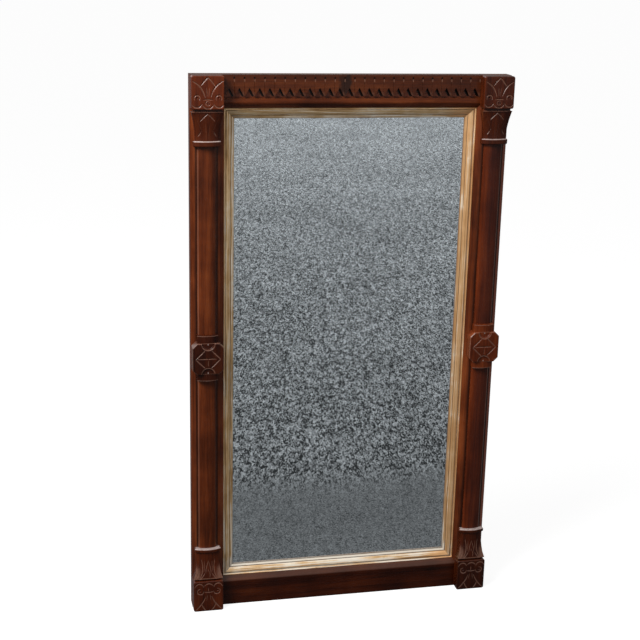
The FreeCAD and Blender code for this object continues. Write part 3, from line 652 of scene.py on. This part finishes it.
def corner_block(node, motif, material):
    low, high, middle = in_mm(node)
    wide, tall, edge, corner = high.x - low.x, high.z - low.z, 2.0, 2.5
    carving = motif(wide, tall)
    core = Vector((wide / 2 - edge - corner, 0, tall / 2 - edge - corner))

    def form(u, v):
        x, z = (u - 0.5) * (wide - 2 * edge), (0.5 - v) * (tall - 2 * edge)
        over = np.maximum(np.abs(x) - core.x, 0), np.maximum(np.abs(z) - core.z, 0)
        inset = 1 - np.maximum(*over) / np.maximum(np.hypot(*over), 1e-9)
        inset = np.where((over[0] > 0) & (over[1] > 0), inset, 0)
        x, z = x - np.sign(x) * over[0] * inset, z - np.sign(z) * over[1] * inset
        deep, worn = carving.cut(x, z)
        return x + middle.x, low.y + deep, z + middle.z, worn

    def eased(turn):
        def move(spot):
            x, z = spot.x / MM - middle.x, spot.z / MM - middle.z
            inner = Vector((max(-core.x, min(x, core.x)), 0, max(-core.z, min(z, core.z))))
            out = (Vector((x, 0, z)) - inner).normalized() * (corner + edge * math.sin(turn))
            y = max(spot.y / MM, low.y + edge * (1 - math.cos(turn)))
            return (inner + out + Vector((middle.x, y, middle.z))) * MM
        return move

    shape = new_shape()
    verts = sheet(shape, columns=150, rows=154, form=form)
    # The rounded rim is painted a little pale: wear and painted highlight.
    for step in range(1, 5):
        verts = run_out(shape, verts, eased(math.radians(22.5 * step)), 0.12)
    close_to(shape, verts, high.y * MM)
    finish_piece(shape, node, material)


# Middle blocks: an eight-sided face over a bowed tab
BLOCK_TALL, CORNER_CUT = 72.0, 10.0
LOBE_RADIUS, LOBE_SUNK = 14.5, 3.6
TAB_WIDE, TAB_FRONT, TAB_BOW = 47.0, 16.0, 6.0


def diamond_motif():
    carving = Carving()
    for x in (-28.0, 27.5):
        carving.stroke([(x, 0.3), (x * 0.27, 20.6)])
        carving.stroke([(x, 0.3), (x * 0.27, -20.0)])
    carving.stroke([(-22.5, 0.7), (18.0, 0.7)], 3.4, 1.4)
    carving.stroke([(0.0, -3.0), (0.0, -16.0)], 3.0, 0.9)
    carving.eye(0.0, -0.6, 2.0, 1.8)
    for z, start in ((BLOCK_TALL / 2, 180), (-BLOCK_TALL / 2, 0)):
        carving.lobe(0.0, z, LOBE_RADIUS, LOBE_SUNK)
        carving.stroke(arc(0.0, z, LOBE_RADIUS + 0.7, start, start + 180, 20), 3.6, 1.4)
        carving.peg(0.0, z * 0.92, 1.7)
    return carving


def middle_block(node, material, highlight_and_wear):
    low, high, middle = in_mm(node)
    wide, tall, corner, edge = high.x - low.x, BLOCK_TALL, CORNER_CUT, 1.6
    half = math.sqrt(0.5)
    slant = (wide / 2 + tall / 2 - corner) * half
    sides = [(1, 0, wide / 2), (-1, 0, wide / 2), (0, 1, tall / 2), (0, -1, tall / 2)]
    sides += [(x * half, z * half, slant) for x in (1, -1) for z in (1, -1)]
    carving = diamond_motif()

    def face(u, v):
        x, z = (u - 0.5) * (wide - 2 * edge), (0.5 - v) * (tall - 2 * edge)
        deep, worn = carving.cut(x, z)
        return x + middle.x, low.y + deep, z + middle.z, worn

    shape = new_shape()
    sheet(shape, columns=136, rows=140, form=face)
    for x, z, reach in sides[4:]:
        spot = Vector((middle.x + x * (reach - edge), 0, middle.z + z * (reach - edge))) * MM
        everything = shape.verts[:] + shape.edges[:] + shape.faces[:]
        bmesh.ops.bisect_plane(shape, geom=everything, plane_co=spot, plane_no=(x, 0, z), clear_outer=True)
    # The bevel round the face, and the sides as the last argument gives, are painted pale: wear and painted
    # highlight.
    fresh = run_out(shape, shape.verts[:], bevelled(middle, sides, low.y, edge), 0.75)
    close_to(shape, fresh, high.y * MM, highlight_and_wear)

    # The tab's top and bottom edges are painted pale: wear and painted highlight.
    def tab(u, v):
        x, z = (u - 0.5) * TAB_WIDE, (0.5 - v) * (high.z - low.z)
        bow = TAB_FRONT + TAB_BOW * (1 - (2 * u - 1) ** 2)
        return x + middle.x, high.y - bow, z + middle.z, 0.8 * (abs(v - 0.5) > 0.493)

    close_to(shape, sheet(shape, columns=24, rows=150, form=tab), high.y * MM)
    finish_piece(shape, node, material)


# Capitals and bases: a bowed flare between a ring and a brim
ROW_PITCH = 0.55


def rounded_over(top, bottom, wide, front, bow, radius):
    """Profile rows of a moulding whose two edges are rounded."""
    rows = []
    for step in range(7):
        turn = math.radians(15 * step)
        inset = radius * (1 - math.sin(turn))
        rows.append((top - radius * (1 - math.cos(turn)), wide - 2 * inset, front - inset, bow))
    return rows + [(bottom + top - z, *rest) for z, *rest in reversed(rows)]


def bowed_piece(node, profile, carving, material):
    """A piece whose rows are (height, width, front at the corner, bow)."""
    _, high, middle = in_mm(node)
    rows = [profile[0]]
    for before, after in zip(profile, profile[1:]):
        steps = max(1, round(max(abs(a - b) for a, b in zip(before, after)) / ROW_PITCH))
        for step in range(1, steps + 1):
            rows.append(tuple(a + (b - a) * step / steps for a, b in zip(before, after)))
    table = np.array(rows)

    def form(u, v):
        z, wide, corner, bow = table[np.round(v * (len(rows) - 1)).astype(int)].T
        across = 2 * u - 1
        x = across * wide / 2
        deep, worn = carving(x, z)
        return x + middle.x, high.y - corner - bow * (1 - across ** 2) + deep, z, worn

    shape = new_shape()
    close_to(shape, sheet(shape, columns=116, rows=len(rows) - 1, form=form), high.y * MM)
    finish_piece(shape, node, material)


def on_flare(flare, strokes, eyes, edges, corner_sheen=0.0):
    """Carving of a flare, with edges painted pale, for wear and painted highlight, and a painted sheen on
    the lower corners.

    strokes are (points, width, depth) and eyes are (point, radius, depth), where points are in
    shares of the flare's width and height. edges are (height, reach, amount).
    """
    rising = sorted(flare)
    bottom, top = rising[0][0], rising[-1][0]
    levels, widths = [row[0] for row in rising], [row[1] for row in rising]
    carving = Carving()

    def at(u, v):
        z = top + (bottom - top) * v
        return (u - 0.5) * float(np.interp(z, levels, widths)), z

    for points, width, depth in strokes:
        carving.stroke([at(*point) for point in points], width, depth)
    for (u, v), radius, depth in eyes:
        carving.eye(*at(u, v), radius, depth)

    def cut(x, z):
        deep, worn = carving.cut(x, z)
        inside = np.clip((top - z) / 0.6, 0, 1) * np.clip((z - bottom) / 0.6, 0, 1)
        out = np.abs(x) / np.interp(z, levels, widths) * 2
        fall = (top - z) / (top - bottom)
        # Painted sheen on the lower corners, which face up.
        sheen = corner_sheen * np.clip((out + 0.7 * fall - 0.95) / 0.45, 0, 1)
        sheen = sheen * np.clip((fall - 0.35) / 0.3, 0, 1)
        worn = np.maximum(worn, sheen) * inside
        for level, reach, amount in edges:
            worn = np.maximum(worn, amount * np.clip(1.5 - abs(z - level) / reach, 0, 1))
        return deep * inside, worn

    return cut


def both(points):
    """A line and the same line on the other half."""
    return [points, [(1 - u, v) for u, v in points]]


def capital(node):
    low, high, _ = in_mm(node)
    ring, brim, fillet = low.z + 12.5, high.z - 8.0, high.z - 5.0
    rise = brim - ring
    flare = smooth_line([(brim, 66.8, 18.9, 2.0), (ring + 0.6 * rise, 58.0, 13.0, 6.0),
                         (ring + 0.24 * rise, 53.0, 10.5, 6.5), (ring, 53.0, 10.0, 6.5)])
    strokes = [(line, 3.2, 1.6) for line in both([(0.515, 0.005), (0.38, 0.13), (0.25, 0.27)])]
    strokes += [(line, 3.2, 1.4) for line in both([(0.235, 0.68), (0.19, 0.74), (0.13, 0.82)])]
    strokes += [(line, 2.2, 0.45) for line in both([(0.42, 0.36), (0.44, 0.66), (0.465, 0.97)])]
    strokes += [(line, 2.2, 0.35) for line in both([(0.10, 0.10), (0.20, 0.42), (0.30, 0.66)])]
    eyes = [((0.25, 0.63), 1.4, 1.3), ((0.75, 0.63), 1.4, 1.3)]
    # The fillet and the ring's top are painted pale: wear and painted highlight.
    edges = [(fillet - 0.4, 0.7, 0.6), (ring - 0.8, 1.3, 1.0)]
    profile = [(high.z, 62.0, 16.5, 2.0), (fillet, 62.0, 16.5, 2.0), (fillet, 67.0, 19.0, 2.0),
               (fillet - 0.5, 68.0, 19.5, 2.0), (brim + 0.5, 68.0, 19.5, 2.0), (brim, 67.4, 19.2, 2.0)]
    profile += flare + rounded_over(ring, low.z, 60.0, 11.0, 8.5, 2.5)
    bowed_piece(node, profile, on_flare(flare, strokes, eyes, edges), dark_walnut)


def base(node):
    low, high, _ = in_mm(node)
    ring, foot = high.z - 9.5, low.z + 4.5
    rise = ring - foot
    flare = smooth_line([(ring, 52.0, 10.5, 6.0), (foot + 0.78 * rise, 52.0, 11.0, 6.0),
                         (foot + 0.49 * rise, 55.0, 13.5, 5.0), (foot + 0.2 * rise, 60.5, 18.0, 3.5),
                         (foot, 69.0, 21.5, 1.5)])
    strokes = [(line, 3.4, 1.3) for line in both([(0.20, 0.26), (0.26, 0.52), (0.25, 0.76), (0.19, 0.98)])]
    strokes += [(line, 3.0, 1.0) for line in both([(0.50, 0.30), (0.42, 0.55), (0.39, 0.74)])]
    strokes += [(line, 3.0, 1.3) for line in both([(0.36, 0.76), (0.30, 0.87), (0.22, 0.99)])]
    strokes += [([(0.55, 0.70), (0.56, 0.80), (0.55, 0.92)], 3.0, 1.0)]
    strokes += [([(0.49, 0.62), (0.5, 0.70)], 3.0, 0.8)]
    strokes += [(line, 2.6, 0.9) for line in both([(0.11, 0.56), (0.12, 0.78), (0.07, 0.98)])]
    strokes += [(line, 2.6, 0.8) for line in both([(0.33, 0.30), (0.34, 0.52), (0.32, 0.70)])]
    # The foot and the ring's top are painted pale, for wear and painted highlight, and the lower corners get
    # a painted sheen.
    edges = [(foot + 1.2, 1.6, 0.55), (high.z - 0.7, 1.5, 1.0)]
    profile = [(high.z, 56.0, 1.0, 0.5)]
    profile += rounded_over(high.z, ring, 61.0, 11.5, 8.0, 2.5) + flare
    profile += [(foot, 59.0, 16.5, 1.5), (low.z, 59.0, 16.5, 1.5)]
    bowed_piece(node, profile, on_flare(flare, strokes, [], edges, 0.55), dark_walnut)


corner_block("top_left_block", upper_motif, red_walnut)
corner_block("top_right_block", upper_motif, brown_walnut)
corner_block("bottom_left_block", lower_motif, brown_walnut)
corner_block("bottom_right_block", lower_motif, black_walnut)
middle_block("left_middle_block", black_walnut, 0.3)
middle_block("right_middle_block", red_walnut, 0.0)
for side in ("left", "right"):
    capital(side + "_capital")
    base(side + "_base")


# Camera: solved from the frame's edges in the photograph. The turns are yaw, pitch and roll in
# degrees, and the focal length is in widths of the picture.
CAMERA_PLACE = (-0.6781, -2.7886, 0.8854)
CAMERA_TURNS = (12.58, 16.08, 1.34)
SENSOR, FOCAL = 36.0, 1286.62 / 640


def look():
    yaw, pitch, roll = (math.radians(angle) for angle in CAMERA_TURNS)
    ahead = Vector((math.sin(yaw) * math.cos(pitch), math.cos(yaw) * math.cos(pitch), -math.sin(pitch)))
    across = Vector((math.cos(yaw), -math.sin(yaw), 0))
    upright = across.cross(ahead)
    right = across * math.cos(roll) + upright * math.sin(roll)
    above = upright * math.cos(roll) - across * math.sin(roll)
    lens = bpy.data.cameras.new("camera")
    lens.sensor_width = SENSOR
    lens.lens = FOCAL * SENSOR
    eye = bpy.data.objects.new("camera", lens)
    scene.collection.objects.link(eye)
    turn = Matrix((right, above, -ahead)).transposed()
    eye.matrix_world = Matrix.Translation(CAMERA_PLACE) @ turn.to_4x4()
    scene.camera = eye


# Studio: a floor that is white to the eye and, in the glass, a glowing grey speckled ground, a painted
# reflection
WHITE = (1.0, 1.0, 1.0)
FLOOR_REACH = 60.0
FLOOR_GLOW, SKY_LIGHT = 0.88, 0.40


def speckled_grey(ground):
    """The glowing colour that the glass reflects, a painted reflection of a ground: coarser and paler
    farther from the frame.
    """
    spot = ground.place()
    away = ground.split(spot)[1] * -1.0
    far = away.ease(0.55, 0.85)
    drawn = ground.moved(ground.moved(spot, turn=-0.22), scale=(1.0, 0.3, 1.0))
    stones = ground.grains(drawn, 280.0) * 0.65 + ground.grains(drawn, 120.0) * 0.35
    lumps = ground.noise(drawn, 70.0, 3.0, 0.65)
    patch = ground.noise(spot, 1.6, 3.0, 0.55)
    level = 0.148 + away.ease(0.2, 3.2) * 0.062 + away.ease(1.6, 9.5) * 0.16
    fine = ground.grains(spot, 430.0)
    rough = (stones - 0.5) * (far * 3.6 + 0.6) + (fine - 0.5) * (1 - far) * 1.3
    rough = rough + (lumps - 0.5) * (far * 0.7 + 0.5) + 1.0
    tone = level * rough.most(0.2) * (patch * 0.5 + 0.75)
    return ground.node("ShaderNodeCombineColor", None, [tone * 0.95, tone, tone * 1.04])


def studio_floor():
    shape = bmesh.new()
    bmesh.ops.create_grid(shape, x_segments=1, y_segments=1, size=FLOOR_REACH)
    mesh = bpy.data.meshes.new("floor")
    shape.to_mesh(mesh)
    shape.free()
    mesh.transform(Matrix.Translation((0, 0, cad_box[0][2])))
    floor = bpy.data.objects.new("floor", mesh)
    scene.collection.objects.link(floor)
    ground = Finish("pale_floor")
    paths = [ground.node("ShaderNodeLightPath", out=name) for name in ("Is Camera Ray", "Is Glossy Ray")]
    dull = ground.node("ShaderNodeBsdfDiffuse", None, {"Color": (0.10, 0.10, 0.10)})
    mirrored = ground.node("ShaderNodeEmission", None, {"Color": speckled_grey(ground)})
    pale = ground.node("ShaderNodeBsdfDiffuse", None, {"Color": (0.24, 0.24, 0.24)})
    white = ground.node("ShaderNodeEmission", None, {"Color": WHITE, "Strength": FLOOR_GLOW})
    shown = ground.node("ShaderNodeAddShader", None, [white, pale])
    unseen = ground.node("ShaderNodeMixShader", None, [paths[1], dull, mirrored])
    mixed = ground.node("ShaderNodeMixShader", None, [paths[0], unseen, shown])
    ground.node("ShaderNodeOutputMaterial", None, [mixed])
    mesh.materials.append(ground.owner)


def studio_sky():
    scene.world = bpy.data.worlds.new("studio")
    sky = Finish("studio", scene.world)
    rays = ("Is Camera Ray", "Is Glossy Ray", "Is Transmission Ray")
    paths = [sky.node("ShaderNodeLightPath", out=name) for name in rays]
    light = sky.node("ShaderNodeBackground", None, {"Color": WHITE, "Strength": SKY_LIGHT})
    white = sky.node("ShaderNodeBackground", None, {"Color": WHITE, "Strength": 1.0})
    seen = paths[0].most(paths[1]).most(paths[2])
    mixed = sky.node("ShaderNodeMixShader", None, [seen, light, white])
    sky.node("ShaderNodeOutputWorld", None, [mixed])


def soft_lamp(name, spot, aim, size, power):
    lamp = bpy.data.lights.new(name, "AREA")
    lamp.shape = "DISK"
    lamp.size = size
    lamp.energy = power
    holder = bpy.data.objects.new(name, lamp)
    scene.collection.objects.link(holder)
    holder.location = spot
    holder.rotation_euler = (Vector(aim) - Vector(spot)).to_track_quat("-Z", "Y").to_euler()


look()
studio_floor()
studio_sky()
soft_lamp("key", spot=(-1.8, -1.2, 2.2), aim=(0, 0, 0.1), size=1.4, power=115)
scene.view_settings.view_transform = "Standard"
